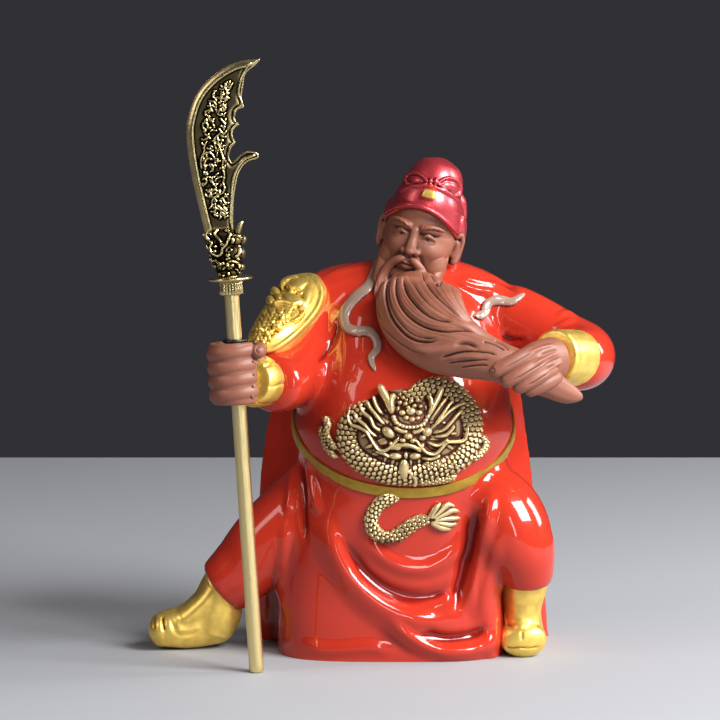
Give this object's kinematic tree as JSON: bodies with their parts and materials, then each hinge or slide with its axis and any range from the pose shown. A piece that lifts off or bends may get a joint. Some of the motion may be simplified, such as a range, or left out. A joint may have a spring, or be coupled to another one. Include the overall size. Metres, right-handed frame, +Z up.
{
  "type": "guan yu statue",
  "caption": "Ceramic desk figure of a seated bearded general in a red glazed robe, one hand on the beard, the other holding a brass polearm that stands on the ground.",
  "frame": {"origin": "middle of the figure's flat underside, on the surface it stands on", "axes": "+Z up, -Y the way the belly faces, +X to the viewer's right, which is the figure's left"},
  "size_m": [0.1944, 0.1158, 0.2472],
  "materials": {
    "red_glaze": "glossy red glaze over white clay",
    "bare_clay": "unglazed purple clay, satin",
    "gilding": "gold lustre, slightly grained",
    "relief_gilt": "bronze gold with dark wash in the hollows",
    "hat_lustre": "red metallic lustre",
    "belt_gilt": "matt gold paint",
    "ribbon_glaze": "glossy grey-brown glaze",
    "brass_rod": "drawn satin brass",
    "antique_brass": "cast, blackened in the hollows and rubbed bright",
    "black_rubber": "smooth black"
  },
  "bodies": {
    "root": {"figure": "red_glaze", "polearm_shaft": "brass_rod", "polearm_head": "antique_brass", "stop_ring": "black_rubber"}
  },
  "joints": []
}
